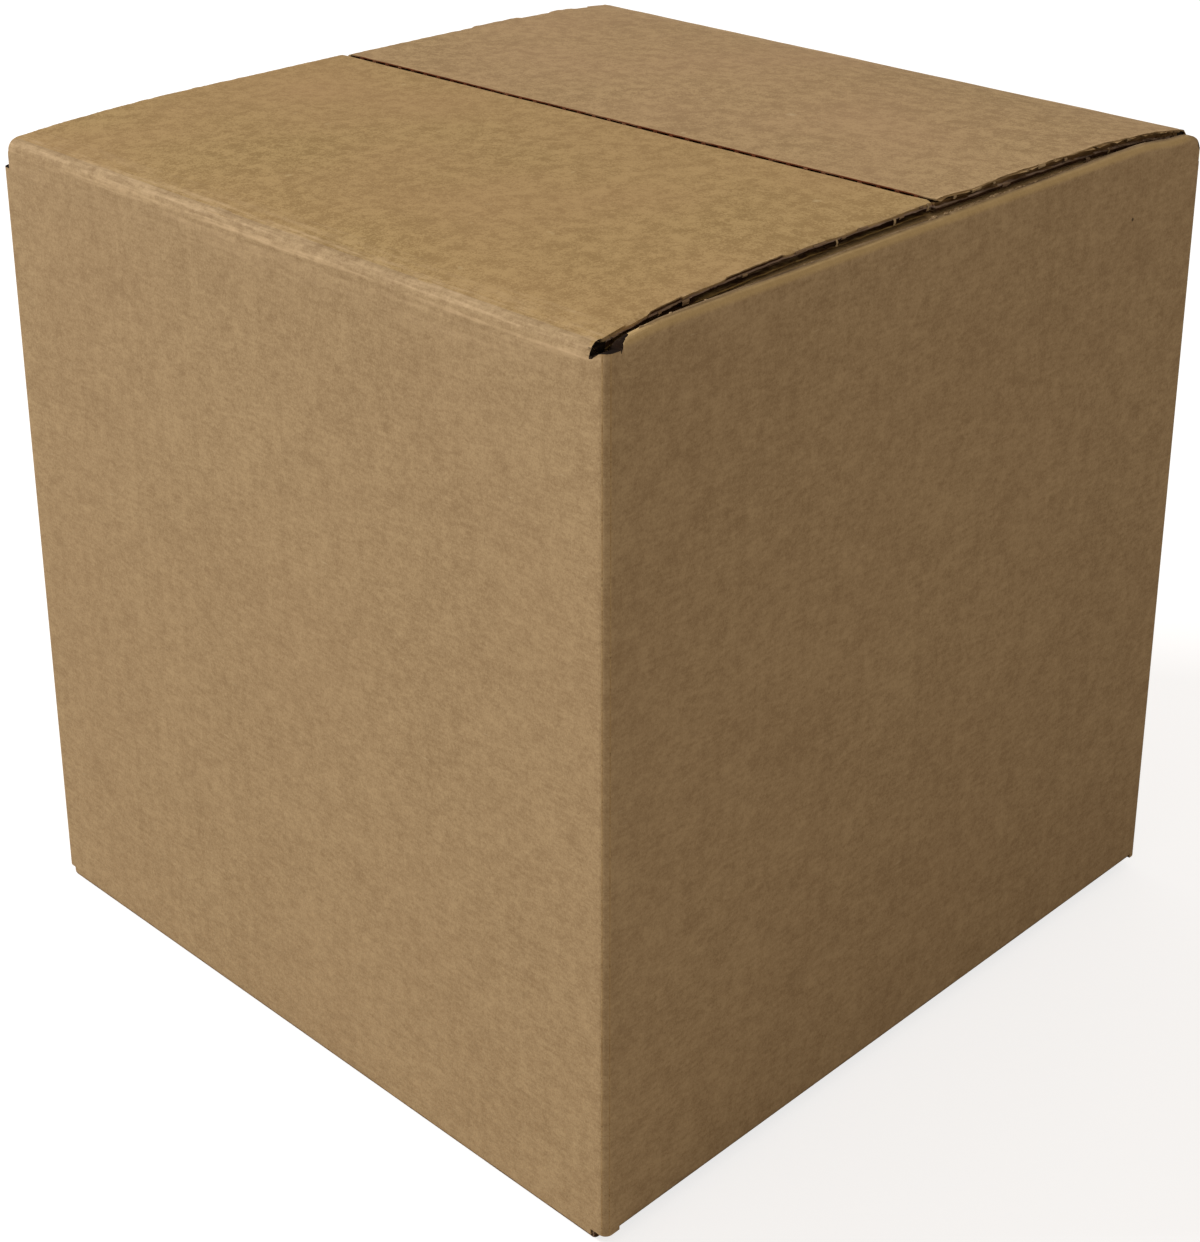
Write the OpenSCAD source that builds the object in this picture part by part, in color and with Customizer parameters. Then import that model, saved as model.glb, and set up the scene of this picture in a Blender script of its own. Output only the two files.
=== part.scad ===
// Closed regular slotted carton: one folded and glued sheet of single wall corrugated board.
// X runs along the outer flaps' creases, Y across them, Z up. Origin: middle of the base.
// Two outer top flaps meet at a seam and swing on their creases. Below them lie the two
// inner top flaps, and the base is closed by inner and outer bottom flaps glued together.

/* [Box] */
// Outside length, along the creases of the outer flaps
box_l = 310; // [160:1:600]
// Outside width, across the seam
box_w = 314; // [160:1:600]
// Height from the floor to the seam at its higher end
box_h = 322; // [160:1:600]

/* [Board] */
// Thickness of the corrugated board
board_t = 4; // [3:0.1:5]
// Thickness of each flat liner where a raw edge shows it
liner_t = 0.45; // [0.3:0.05:0.6]
// Thickness of the wavy medium between the liners
medium_t = 0.4; // [0.25:0.05:0.5]
// Distance from one flute to the next
flute_pitch = 7.8; // [6:0.1:10]
// How far the open flutes are cut in from a raw edge
flute_depth = 14; // [6:1:30]
// How far a flute that was slit open along a flap's end reaches in
slit_depth = 2.4; // [1:0.1:4]

/* [Creases] */
// Outer radius of the outer flaps' creases
crease_r = 4.4; // [4.2:0.1:8]
// Outer radius of the inner flaps' sharper creases
roll_r = 2.6; // [1.5:0.1:3.2]
// How far an end wall's crease stands over its inner flap, beside the outer flaps' ends
roll_lift = 0.6; // [0:0.1:1.5]
// Outer radius of the upright corners
corner_r = 3; // [1:0.1:4]
// Distance from the right face to the right ends of the outer flaps
slot_right = 7; // [5:0.1:10]
// Distance from the left face to the left ends of the outer flaps
slot_left = 4.8; // [4.7:0.1:10]
// Distance from the front face to the heads of the end walls
slot_front = 6.5; // [1.6:0.1:10]
// Distance from the back face to the heads of the end walls
slot_back = 2.4; // [1.6:0.1:10]
// Least air between the front or back wall and an inner flap's side
side_clear = 0.4; // [0.2:0.1:4]
// Air between the end of an outer flap and the rolled crease beside it
end_clear = 0.6; // [0.4:0.1:2]
// Height of a top slot's bottom over the start of the outer flaps' creases
slot_over = 1; // [-2:0.1:2]
// How much deeper the top slots at the front left and the back right corner run
slot_deep = 7.5; // [0.5:0.1:15]
// Height of the bottom slots above the floor
slot_low = 5.5; // [4:0.1:8]
// Radius of the panel shoulders beside the top slots
shoulder_r = 8; // [2:0.1:12]

/* [Top flaps] */
// Climb of the outer flaps from crease to seam at the right end
rise_right = 6.6; // [5:0.1:9]
// Climb of the outer flaps from crease to seam at the left end
rise_left = 3.6; // [1:0.1:9]
// Distance from the crease in which most of the climb happens
rise_run = 32; // [15:1:60]
// Open line between the two outer flaps
seam_gap = 1.7; // [0.6:0.1:4]
// Distance of the seam from the middle of the box
seam_shift = 2; // [-6:0.5:6]
// Open line between the two inner flaps
inner_gap = 6; // [5:0.5:30]
// Air between the inner flaps and the outer flaps over them
inner_clear = 0.7; // [0.3:0.1:2]
// Angle left open on each side of the mitre in the outer creases
mitre_open = 2.5; // [1:0.5:6]
// Air between the wall and the inner corner of a folded flap
mitre_gap = 0.2; // [0.1:0.1:0.5]

/* [Bottom and glue joint] */
// Open line between the two outer bottom flaps
bottom_gap = 1.5; // [0.6:0.1:4]
// Open line between the two inner bottom flaps
bottom_inner_gap = 5; // [2:0.5:30]
// Width of the glue lap inside the rear left corner
lap_w = 35; // [25:1:60]
// Distance of the glued panel's raw edge from the corner
lap_reveal = 1.5; // [0.5:0.1:3]
// Distance of the glue lap from the level creases
lap_step = 5; // [2:0.5:20]
// Height that the glue lap's slanting ends take up
lap_slant = 14; // [6:1:40]

/* [Hidden] */
$fn = 48;
fuse = 0.02;
over = 1;
arc_steps = 6;
curve_steps = 14;
foot_over = 0.5;
cell_steps = 3;
kraft_top = [0.66, 0.53, 0.36];
kraft_wall = [0.62, 0.49, 0.34];

half_l = box_l / 2;
half_w = box_w / 2;
flap_left = slot_left - half_l;
flap_right = half_l - slot_right;
inner_front = max(slot_front, board_t + side_clear);
inner_back = max(slot_back, board_t + side_clear);
crease_z = box_h - rise_right;
slot_z = crease_z - crease_r + slot_over;
ring_top = min(slot_z, crease_z - crease_r, end_top(min(rise_left, rise_right)) - roll_r);
ring_low = board_t + crease_r + foot_over;
front_depth = half_w + seam_shift - seam_gap / 2;
back_depth = half_w - seam_shift - seam_gap / 2;
wave_h = (board_t - 2 * liner_t - medium_t) / 2;
cell_half = 0.4 * flute_pitch;

// Share of the climb that is reached at distance v from the box face, whole at the middle
function climb(v) = v <= crease_r ? 0 :
    (1 - exp(-(v - crease_r) / rise_run)) / (1 - exp(-(half_w - crease_r) / rise_run));

// Full climb of the outer flaps at place x along the box
function rise_at(x) =
    rise_left + (rise_right - rise_left) * (x - flap_left) / (flap_right - flap_left);

// Distances from the face at which the curve has a point, closer together near the crease
function stations(from, to) =
    [for (i = [0 : curve_steps]) from + (to - from) * pow(i / curve_steps, 1.8)];

function backward(list) = [for (i = [len(list) - 1 : -1 : 0]) list[i]];

function arc(centre, r, from, to) =
    [for (i = [0 : arc_steps]) let (a = from + (to - from) * i / arc_steps)
        centre + r * [cos(a), sin(a)]];

// Side view of an outer flap, as pairs of a point on its upper side and one on its lower side:
// mitred root, rounded crease, climb and free edge
function outer_pairs(depth, rise) =
    let (crease = arc([crease_r, crease_z - crease_r], crease_r, 135 - mitre_open, 90))
    let (corner = [board_t + mitre_gap, crease_z - board_t])
    let (flat_v = max(crease_r, corner[0] + mitre_gap))
    concat(
        [for (i = [0 : arc_steps - 1])
            [crease[i], crease[0] + (corner - crease[0]) * (i + 1) / arc_steps]],
        [for (v = stations(flat_v, depth)) let (z = crease_z + rise * climb(v))
            [[v, z], [v, z - board_t]]]
    );

// Top of an inner flap under the outer flaps, at distance v from the nearer outer face
function inner_top(v, rise) = crease_z - board_t - inner_clear + rise * climb(v);

// Top of an end wall's crease, where the outer flaps beside it climb by the given height
function end_top(rise) = inner_top(half_w, rise) + roll_lift;

// Front view of an inner flap: it is pressed down along its sides by the outer flaps
function inner_pairs(rise) =
    let (front = [for (v = stations(inner_front, half_w)) [v - half_w, inner_top(v, rise)]])
    let (back = [for (v = stations(inner_back, half_w)) [half_w - v, inner_top(v, rise)]])
    let (line = concat(front, [for (i = [curve_steps - 1 : -1 : 0]) back[i]]))
    [for (p = line) [p, p - [0, board_t]]];

// Bent sheet through two or more sections, each a place along X and its pairs in Y and Z
module sheet(sections) {
    n = 2 * len(sections[0][1]);
    last = len(sections) - 1;
    points = [for (section = sections, pair = section[1], p = pair) [section[0], p[0], p[1]]];
    caps = [for (i = [0 : 2 : n - 4]) let (b = n * last + i) each [
        [i, i + 1, i + 3, i + 2], [b, b + 2, b + 3, b + 1]
    ]];
    sides = [for (k = [0 : last - 1], i = [0 : 2 : n - 4])
        let (a = n * k + i) let (b = a + n) each [
            [a, a + 2, b + 2], [a, b + 2, b],
            [a + 1, b + 1, b + 3], [a + 1, b + 3, a + 3]
        ]];
    ends = [for (k = [0 : last - 1]) let (a = n * k) let (b = a + n) each [
        [a, b, b + 1, a + 1], [b - 2, b - 1, b + n - 1, b + n - 2]
    ]];
    polyhedron(points = points, faces = concat(caps, sides, ends), convexity = 10);
}

// Outline drawn in Y and Z, carried along X
module along_x(x_from, x_to) {
    translate([x_from, 0, 0])
        rotate([90, 0, 90])
            linear_extrude(x_to - x_from)
                children();
}

// Outline drawn in X and Z, carried along Y
module along_y(y_from, y_to) {
    translate([0, y_to, 0])
        rotate([90, 0, 0])
            linear_extrude(y_to - y_from)
                children();
}

// One open flute in its own section: s across the flutes, h from the middle of the board
function flute_cell(up) =
    let (side = up ? 1 : -1)
    let (roof = board_t / 2 - liner_t)
    concat(
        [for (k = [-cell_steps : cell_steps]) let (s = cell_half * k / cell_steps)
            [s, side * (medium_t / 2 - wave_h * cos(360 * s / flute_pitch))]],
        [[cell_half, side * roof], [-cell_half, side * roof]]
    );

// Places of the flutes along a raw edge, upper and lower in turn
function flute_places(from, to) =
    let (count = floor(((to - from) / 2 - cell_half - liner_t) / (flute_pitch / 2)))
    [for (i = [-count : count]) (from + to) / 2 + i * flute_pitch / 2];

// Open flutes along the seam edge of an outer flap
module seam_flutes(edge_y) {
    places = flute_places(flap_left, flap_right);
    share = climb(edge_y + half_w);
    for (i = [0 : len(places) - 1]) {
        along_y(edge_y - flute_depth, edge_y + over)
            polygon([for (p = flute_cell(i % 2 == 0))
                let (x = places[i] + p[0])
                [x, crease_z + rise_at(x) * share - board_t / 2 + p[1]]]);
    }
}

// Flute that the knife slit open along a flap's end: h_from and h_to are depths below the top
module end_slit(x_end, side, depth, h_from, h_to) {
    vs = stations(crease_r + board_t, depth + over);
    rise = rise_at(x_end);
    x_in = x_end - side * slit_depth;
    x_out = x_end + side * over;
    along_x(min(x_in, x_out), max(x_in, x_out))
        polygon(concat(
            [for (v = vs) [v - half_w, crease_z + rise * climb(v) - h_from]],
            [for (v = backward(vs)) [v - half_w, crease_z + rise * climb(v) - h_to]]
        ));
}

// Outer top flap on the front crease. The back one is its mirror image.
// upper_side is 1 where the right end's slit flute is the upper one, -1 where the left end's is
module outer_flap(depth, upper_side) {
    slit_h = wave_h + medium_t;
    low_h = board_t - liner_t;
    difference() {
        translate([0, -half_w, 0])
            sheet([
                [flap_left, outer_pairs(depth, rise_left)],
                [flap_right, outer_pairs(depth, rise_right)]
            ]);
        seam_flutes(depth - half_w);
        for (side = [-1, 1]) {
            top_h = side == upper_side ? liner_t : low_h - slit_h;
            end_slit(side > 0 ? flap_right : flap_left, side, depth, top_h, top_h + slit_h);
        }
    }
}

module top_flap_front() {
    color(kraft_top)
        outer_flap(front_depth, -1);
}

module top_flap_back() {
    color(kraft_top)
        mirror([0, 1, 0])
            outer_flap(back_depth, 1);
}

// Plan of the four walls. At the rear left corner the left panel's raw edge stops short of
// the rear panel's bend, behind which the glue lap starts.
module wall_plan() {
    difference() {
        union() {
            square([box_l - 2 * corner_r, box_w], center = true);
            square([box_l, box_w - 2 * corner_r], center = true);
            for (p = [[1, 1], [1, -1], [-1, -1]]) {
                translate([p[0] * (half_l - corner_r), p[1] * (half_w - corner_r)])
                    circle(corner_r);
            }
            translate([-half_l, half_w - corner_r])
                square(corner_r);
        }
        square([box_l - 2 * board_t, box_w - 2 * board_t], center = true);
        translate([-half_l - over, half_w - lap_reveal])
            difference() {
                square([over + board_t + lap_reveal, lap_reveal + over]);
                translate([over + board_t + lap_reveal, 0])
                    circle(lap_reveal);
            }
    }
}

module glue_lap() {
    face_x = board_t - half_l - fuse;
    y_from = half_w - board_t - lap_w;
    y_to = half_w - board_t + fuse;
    low = ring_low + lap_step;
    high = ring_top - lap_step;
    along_x(face_x, face_x + board_t)
        polygon([
            [y_to, low], [y_from, low + lap_slant], [y_from, high - lap_slant], [y_to, high]
        ]);
}

// Upright corners beside the slots, between two heights
module corner_posts(from, to) {
    translate([0, 0, from])
        linear_extrude(to - from)
            intersection() {
                wall_plan();
                for (x = [-half_l, flap_right], y = [-half_w, half_w - inner_back])
                    translate([x, y])
                        square([x < 0 ? slot_left : slot_right, y < 0 ? inner_front : inner_back]);
            }
}

// Plan of the slot between two walls at a corner, at side sx along X and side sy along Y
module slot_plan(sx, sy) {
    reach_x = sx > 0 ? slot_right : slot_left;
    reach_y = sy > 0 ? slot_back : slot_front;
    translate([sx * half_l, sy * half_w])
        mirror([sx > 0 ? 1 : 0, 0])
            mirror([0, sy > 0 ? 1 : 0]) {
                translate([-over, -over])
                    square([reach_x + over, min(board_t, reach_y) + over]);
                translate([-over, -over])
                    square([board_t + over, reach_y + over]);
                translate([board_t - fuse, -over])
                    square([reach_x - board_t + fuse, board_t + over]);
            }
}

// The slots that were cut deeper than the others
module deep_slots() {
    for (side = [-1, 1]) {
        translate([0, 0, slot_z - slot_deep])
            linear_extrude(slot_deep + over)
                slot_plan(side, side);
    }
}

// Outer bottom flap and the foot of its wall, in one bent section
module outer_bottom(side) {
    depth = half_w - bottom_gap / 2;
    along_x(flap_left, flap_right)
        polygon([for (p = concat(
            [[0, ring_low + fuse]],
            arc([crease_r, crease_r], crease_r, 180, 270),
            [[depth, 0], [depth, board_t], [board_t, board_t], [board_t, ring_low + fuse]]
        )) [side * (half_w - p[0]), p[1]]]);
}

// Inner bottom flap and the foot of its wall, one board higher
module inner_bottom(side) {
    depth = half_l - bottom_inner_gap / 2;
    low = board_t - fuse;
    along_y(inner_front - half_w, half_w - inner_back)
        polygon([for (p = concat(
            [[0, ring_low + fuse]],
            arc([crease_r, low + crease_r], crease_r, 180, 270),
            [[depth, low], [depth, low + board_t], [board_t, low + board_t],
             [board_t, ring_low + fuse]]
        )) [side * (half_l - p[0]), p[1]]]);
}

// Head of a front or back wall, mitred along the crease of its outer flap
module outer_wall_head(side) {
    along_x(flap_left, flap_right)
        polygon([for (p = concat(
            [[0, ring_top - fuse]],
            arc([crease_r, crease_z - crease_r], crease_r, 180, 135 + mitre_open),
            [[board_t, crease_z - board_t - mitre_gap], [board_t, ring_top - fuse]]
        )) [side * (half_w - p[0]), p[1]]]);
}

// Rounded shoulder of an end wall's head, from the slot's bottom up, in Y and Z. The slot's
// edge is at distance slot from the box face.
function shoulder(slot, top) =
    let (centre = [half_w - slot - shoulder_r, top - shoulder_r])
    let (start = asin(max(0, min(1, (ring_top - centre[1]) / shoulder_r))))
    let (round = arc(centre, shoulder_r, start, 90))
    concat([[round[0][0], ring_top - over]], round);

// Head of an end wall: the rolled crease of its inner flap
module inner_wall_head(side, rise) {
    top = end_top(rise);
    ridge_w = max(board_t + fuse, (side > 0 ? slot_right : slot_left) - end_clear);
    intersection() {
        along_y(-half_w, half_w)
            polygon([for (p = concat(
                [[0, ring_top - fuse]],
                arc([roll_r, top - roll_r], roll_r, 180, 90),
                [[ridge_w, top], [ridge_w, top - board_t], [board_t, top - board_t],
                 [board_t, ring_top - fuse]]
            )) [side * (half_l - p[0]), p[1]]]);
        along_x(-half_l - over, half_l + over)
            polygon(concat(
                shoulder(slot_back, top),
                [for (p = backward(shoulder(slot_front, top))) [-p[0], p[1]]]
            ));
    }
}

// Inner top flap at the right (side 1) or left (side -1) end, with open flutes at its edge
module inner_flap(side) {
    edge = inner_gap / 2;
    edge_rise = rise_at(side * edge);
    root = half_l - board_t / 2;
    places = flute_places(inner_front - half_w, half_w - inner_back);
    difference() {
        sheet([for (x = side > 0 ? [edge, root] : [-root, -edge])
            [x, inner_pairs(rise_at(x))]]);
        for (i = [0 : len(places) - 1]) {
            along_x(side > 0 ? edge - over : -edge - flute_depth,
                side > 0 ? edge + flute_depth : over - edge)
                polygon([for (p = flute_cell(i % 2 == 0))
                    let (y = places[i] + p[0])
                    [y, inner_top(half_w - abs(y), edge_rise) - board_t / 2 + p[1]]]);
        }
    }
}

module carton() {
    color(kraft_wall) {
        difference() {
            union() {
                translate([0, 0, ring_low])
                    linear_extrude(ring_top - ring_low)
                        wall_plan();
                corner_posts(ring_top - fuse, slot_z);
            }
            deep_slots();
        }
        corner_posts(slot_low, ring_low + fuse);
        glue_lap();
        for (side = [-1, 1]) {
            outer_bottom(side);
            inner_bottom(side);
            outer_wall_head(side);
            inner_wall_head(side, side > 0 ? rise_right : rise_left);
            inner_flap(side);
        }
    }
}

carton();
top_flap_front();
top_flap_back();
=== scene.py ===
# %% [markdown]
# # A closed shipping carton
# The object is one sheet of brown corrugated board, cut, folded and glued into a box. Its two
# outer top flaps lie shut, with an open seam between them. The rigid model of the carton comes
# in as a fixed frame. This script gives it camera, light, paper and worn edges, step by step.

# %% Load the carton's frame
import math
import random
import bmesh
import bpy
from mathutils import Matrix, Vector, noise


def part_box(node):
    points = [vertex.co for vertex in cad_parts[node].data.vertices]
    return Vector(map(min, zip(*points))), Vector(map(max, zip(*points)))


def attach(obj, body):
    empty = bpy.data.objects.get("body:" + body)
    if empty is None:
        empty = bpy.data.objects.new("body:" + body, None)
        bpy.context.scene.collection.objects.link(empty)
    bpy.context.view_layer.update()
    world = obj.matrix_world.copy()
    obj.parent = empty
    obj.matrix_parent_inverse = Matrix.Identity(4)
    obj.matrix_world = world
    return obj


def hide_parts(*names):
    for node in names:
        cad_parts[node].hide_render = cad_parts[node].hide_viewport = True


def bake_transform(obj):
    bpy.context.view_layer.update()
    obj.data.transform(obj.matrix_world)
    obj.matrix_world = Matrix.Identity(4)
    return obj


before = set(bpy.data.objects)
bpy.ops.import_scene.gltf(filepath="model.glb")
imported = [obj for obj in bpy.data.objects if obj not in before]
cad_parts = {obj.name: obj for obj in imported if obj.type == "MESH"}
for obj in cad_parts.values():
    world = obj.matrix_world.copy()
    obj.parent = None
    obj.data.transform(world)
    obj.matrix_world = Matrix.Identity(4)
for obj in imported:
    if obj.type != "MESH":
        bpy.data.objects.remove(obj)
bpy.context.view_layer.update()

# %% [markdown]
# ## The sizes of the board
# Everything is in metres. The outside size comes from the frame, so the looks follow it.
# The few sizes of the board itself are the carton maker's: sheet, crease, flute and climb.

# %% Name the sizes
MM = 0.001
BOARD = 4.0 * MM
FLUTE = 7.8 * MM
CREASE = 4.4 * MM
ROLL = 2.6 * MM
ROLL_LIFT = 0.6 * MM
RISE_RIGHT = 6.6 * MM
RISE_LEFT = 3.6 * MM
RISE_RUN = 32.0 * MM
INNER_CLEAR = 0.7 * MM
INNER_FRONT = 6.5 * MM
INNER_BACK = 4.4 * MM
SLIT = 2.4 * MM
TOUCH = 0.1 * MM

carton_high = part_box("carton")[1]
flap_low, flap_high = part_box("top_flap_front")
HALF_L = carton_high.x
HALF_W = carton_high.y
FLAP_LEFT = flap_low.x
FLAP_RIGHT = flap_high.x
CREASE_Z = flap_high.z - RISE_RIGHT
RING_TOP = CREASE_Z - CREASE
SLOT_Z = RING_TOP + 1.0 * MM
print("crease height in mm", round(CREASE_Z / MM, 2), "slots end at", round(SLOT_Z / MM, 2))

# %% [markdown]
# ## The camera
# The photograph looks down on the front upright corner. A camera can be placed by eye, but here
# its turn, tilt, lens and place come from fitting the box's outline to the picture. A small shift
# keeps the whole box in the upright picture.

# %% Place the camera
CAMERA_TURN = math.radians(44.55)
CAMERA_TILT = math.radians(21.066)
CAMERA_PLACE = (0.5769, -0.5882, 0.5480)
IMAGE_HEIGHT = 1242
FOCAL_PX = 2329.62
AXIS_ROW = 350


def into_scene(name, data):
    made = bpy.data.objects.new(name, data)
    bpy.context.scene.collection.objects.link(made)
    return made


camera_data = bpy.data.cameras.new("camera")
camera_data.sensor_fit = "VERTICAL"
camera_data.sensor_height = 36.0
camera_data.lens = FOCAL_PX * camera_data.sensor_height / IMAGE_HEIGHT
camera_data.shift_y = (AXIS_ROW - IMAGE_HEIGHT / 2) / IMAGE_HEIGHT
camera_data.clip_start = 0.01
camera = into_scene("camera", camera_data)
camera.location = CAMERA_PLACE
camera.rotation_euler = (math.radians(90) - CAMERA_TILT, 0, CAMERA_TURN)
bpy.context.scene.camera = camera
bpy.context.scene.view_settings.view_transform = "Standard"
print("lens in mm", round(camera_data.lens, 2), "shift", round(camera_data.shift_y, 4))

# %% [markdown]
# ## Helpers for materials
# All paper here is made of nodes. Written out one by one, nodes and their links fill pages, so a
# helper makes a node and feeds its inputs in one line. Colours are given as a screen shows them.

# %% Helpers for node trees
def new_material(name):
    material = bpy.data.materials.new(name)
    material.use_nodes = True
    material.node_tree.nodes.clear()
    return material


def add_node(tree, kind, label, feeds=None, **settings):
    """A new node. Feeds names its inputs, each with a value or with another node's output."""
    node = tree.nodes.new(kind)
    node.label = label
    for key, value in settings.items():
        setattr(node, key, value)
    for key, value in (feeds or {}).items():
        if isinstance(value, bpy.types.NodeSocket):
            tree.links.new(value, node.inputs[key])
        else:
            node.inputs[key].default_value = value
    return node


def paint(red, green, blue):
    """A colour as a screen shows it, 0 to 255, as the linear values that nodes use."""
    def linear(value):
        value = value / 255
        return value / 12.92 if value <= 0.04045 else ((value + 0.055) / 1.055) ** 2.4
    return (linear(red), linear(green), linear(blue), 1.0)


def camera_or_light(tree, light, seen, end):
    """Ends a tree with one shader for the light's rays and another for the camera's."""
    path = add_node(tree, "ShaderNodeLightPath", "who looks")
    mix = add_node(tree, "ShaderNodeMixShader", "camera or light", {
        0: path.outputs["Is Camera Ray"], 1: light.outputs[0], 2: seen.outputs[0]})
    add_node(tree, end, "surface", {"Surface": mix.outputs[0]})


print("a mid tan is", [round(value, 3) for value in paint(161, 132, 97)])

# %% [markdown]
# ## The floor
# The photograph was cut out, so its box stands on white. A real floor would be seen, and none at
# all would leave the box without a shadow. So the floor is pale paper for the light, and the
# camera's own rays see it lifted to white, which keeps the box's soft shadow.

# %% Build the floor
bpy.ops.mesh.primitive_plane_add(size=14, location=(0, 0, 0))
floor = bpy.context.object
floor.name = "floor"
floor_material = new_material("pale_floor")
tree = floor_material.node_tree
floor_paper = add_node(tree, "ShaderNodeBsdfDiffuse", "pale paper",
                       {"Color": (0.68, 0.64, 0.58, 1)})
floor_seen = add_node(tree, "ShaderNodeBsdfDiffuse", "paper as the camera sees it",
                      {"Color": (0.45, 0.45, 0.46, 1)})
floor_lift = add_node(tree, "ShaderNodeEmission", "lift to white", {"Strength": 0.74})
floor_sum = add_node(tree, "ShaderNodeAddShader", "white floor",
                     {0: floor_seen.outputs[0], 1: floor_lift.outputs[0]})
camera_or_light(tree, floor_paper, floor_sum, "ShaderNodeOutputMaterial")
floor.data.materials.append(floor_material)
print("floor", tuple(round(side, 1) for side in floor.dimensions))

# %% [markdown]
# ## The light
# The photograph is lit by one large soft lamp and a pale room. A picture of a studio could wrap
# the scene, but one lamp is easier to aim. It stands left in front and high, and lights the top
# and the left face. The right face gets only the surroundings' light, about half as much.

# %% Light the scene
WORLD_STRENGTH = 0.52
world = bpy.data.worlds.new("studio")
bpy.context.scene.world = world
world.use_nodes = True
tree = world.node_tree
tree.nodes.clear()
world_light = add_node(tree, "ShaderNodeBackground", "soft light",
                       {"Color": (0.95, 0.85, 0.74, 1), "Strength": WORLD_STRENGTH})
world_seen = add_node(tree, "ShaderNodeBackground", "white backdrop",
                      {"Color": (1, 1, 1, 1), "Strength": 1.0})
camera_or_light(tree, world_light, world_seen, "ShaderNodeOutputWorld")


def soft_lamp(name, place, aim, size, power):
    data = bpy.data.lights.new(name, "AREA")
    data.shape = "SQUARE"
    data.size = size
    data.energy = power
    lamp = into_scene(name, data)
    lamp.location = place
    lamp.rotation_euler = (Vector(aim) - Vector(place)).to_track_quat("-Z", "Y").to_euler()
    print(name, "at", place, "with", power, "watts")


soft_lamp("key_lamp", (-3.4, -2.83, 3.05), aim=(0, 0, 0.2), size=1.6, power=224)

# %% [markdown]
# ## Groups of nodes
# Kraft liner looks much the same on every face, with other colours. A group of nodes holds what
# they share, and each material sets only its colours and shares.

# %% Helpers for shader groups
FLOAT = "NodeSocketFloat"
VECTOR = "NodeSocketVector"


def new_group(name, inputs, outputs):
    group = bpy.data.node_groups.new(name, "ShaderNodeTree")
    for socket, kind, value in inputs:
        made = group.interface.new_socket(socket, in_out="INPUT", socket_type=kind)
        if value is not None:
            made.default_value = value
    for socket, kind in outputs:
        group.interface.new_socket(socket, in_out="OUTPUT", socket_type=kind)
    return group, group.nodes.new("NodeGroupInput"), group.nodes.new("NodeGroupOutput")


def give(group, leave, results):
    for socket, value in results.items():
        group.links.new(value, leave.inputs[socket])
    print("group", group.name, "with", len(group.nodes), "nodes")


def math_node(tree, operation, label, first, second=None, third=None, clamp=False):
    feeds = {index: value for index, value in enumerate((first, second, third))
             if value is not None}
    return add_node(tree, "ShaderNodeMath", label, feeds, operation=operation,
                    use_clamp=clamp).outputs[0]


def cloud(tree, label, place, scale, detail=2.0, rough=0.5, stretch=None, turn=0.0):
    """Noise around zero, from about -1 to 1, of features about 1 / scale metres wide."""
    if stretch:
        place = add_node(tree, "ShaderNodeMapping", label + " stretch", {
            "Scale": stretch, "Rotation": (turn, turn, turn), "Vector": place}).outputs[0]
    node = add_node(tree, "ShaderNodeTexNoise", label, {
        "Scale": scale, "Detail": detail, "Roughness": rough, "Vector": place})
    return math_node(tree, "MULTIPLY_ADD", label + " spread", node.outputs["Fac"], 2.0, -1.0)


print("node groups so far", len(bpy.data.node_groups))

# %% [markdown]
# ## Kraft paper
# Kraft liner is pressed wood pulp. Close up it is a felt of fibres about a millimetre long, with
# soft cloudy blotches of 5 to 15 mm and larger patches where the sheet took up more colour. A
# scanned picture of paper would show all this at once, but only at one scale. Here each layer is
# a noise of its own with a small share, because the contrast of real liner is low.

# %% The pulp felt as a group
pulp_group, pulp_in, pulp_out = new_group(
    "kraft_pulp",
    [("Place", VECTOR, None), ("Grain", FLOAT, 0.5), ("Blotch", FLOAT, 0.4),
     ("Patch", FLOAT, 0.3)],
    [("Tone", FLOAT), ("Warmth", FLOAT), ("Light Fibres", FLOAT), ("Dark Fibres", FLOAT),
     ("Height", FLOAT)],
)
tree = pulp_group
place = pulp_in.outputs["Place"]
felt = cloud(tree, "felt", place, 700, 3.0, 0.66)
felt = math_node(tree, "MULTIPLY", "felt share", felt, 1.5)
fine_felt = cloud(tree, "fine felt", place, 1900, 2.0, 0.6)
fine_felt = math_node(tree, "MULTIPLY", "fine felt share", fine_felt, 1.7)
fibres_level = cloud(tree, "fibres lying level", place, 420, 2.0, 0.5, (0.35, 0.35, 1.6))
clots = cloud(tree, "clots", place, 210, 2.0, 0.5)
blotch = cloud(tree, "blotches", place, 75, 2.0, 0.5)
patch = cloud(tree, "patches", place, 17, 1.0, 0.5)
warm_patch = cloud(tree, "warm patches", place, 12, 1.5, 0.5, (1.0, 1.0, 0.8))
felt_sum = math_node(tree, "ADD", "felt and fine felt", felt, fine_felt)
fine = math_node(tree, "ADD", "felt and fibres", felt_sum, fibres_level)
fine = math_node(tree, "ADD", "with clots", fine, clots)
fine = math_node(tree, "MULTIPLY", "grain share", fine, pulp_in.outputs["Grain"])
broad = math_node(tree, "MULTIPLY", "blotch share", blotch, pulp_in.outputs["Blotch"])
large = math_node(tree, "MULTIPLY", "patch share", patch, pulp_in.outputs["Patch"])
tone = math_node(tree, "ADD", "tone", math_node(tree, "ADD", "fine and broad", fine, broad), large)
slim = cloud(tree, "slim fibres", place, 300, 1.0, 0.4, (0.5, 0.5, 3.2), 0.6)
slim_other = cloud(tree, "slim fibres, other way", place, 300, 1.0, 0.4, (3.2, 3.2, 0.5), -0.5)
light = math_node(tree, "SUBTRACT", "rare light fibres", slim, 0.52)
dark = math_node(tree, "SUBTRACT", "rare dark fibres", slim_other, 0.56)
clot_relief = math_node(tree, "MULTIPLY", "clot relief", clots, 0.8)
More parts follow.
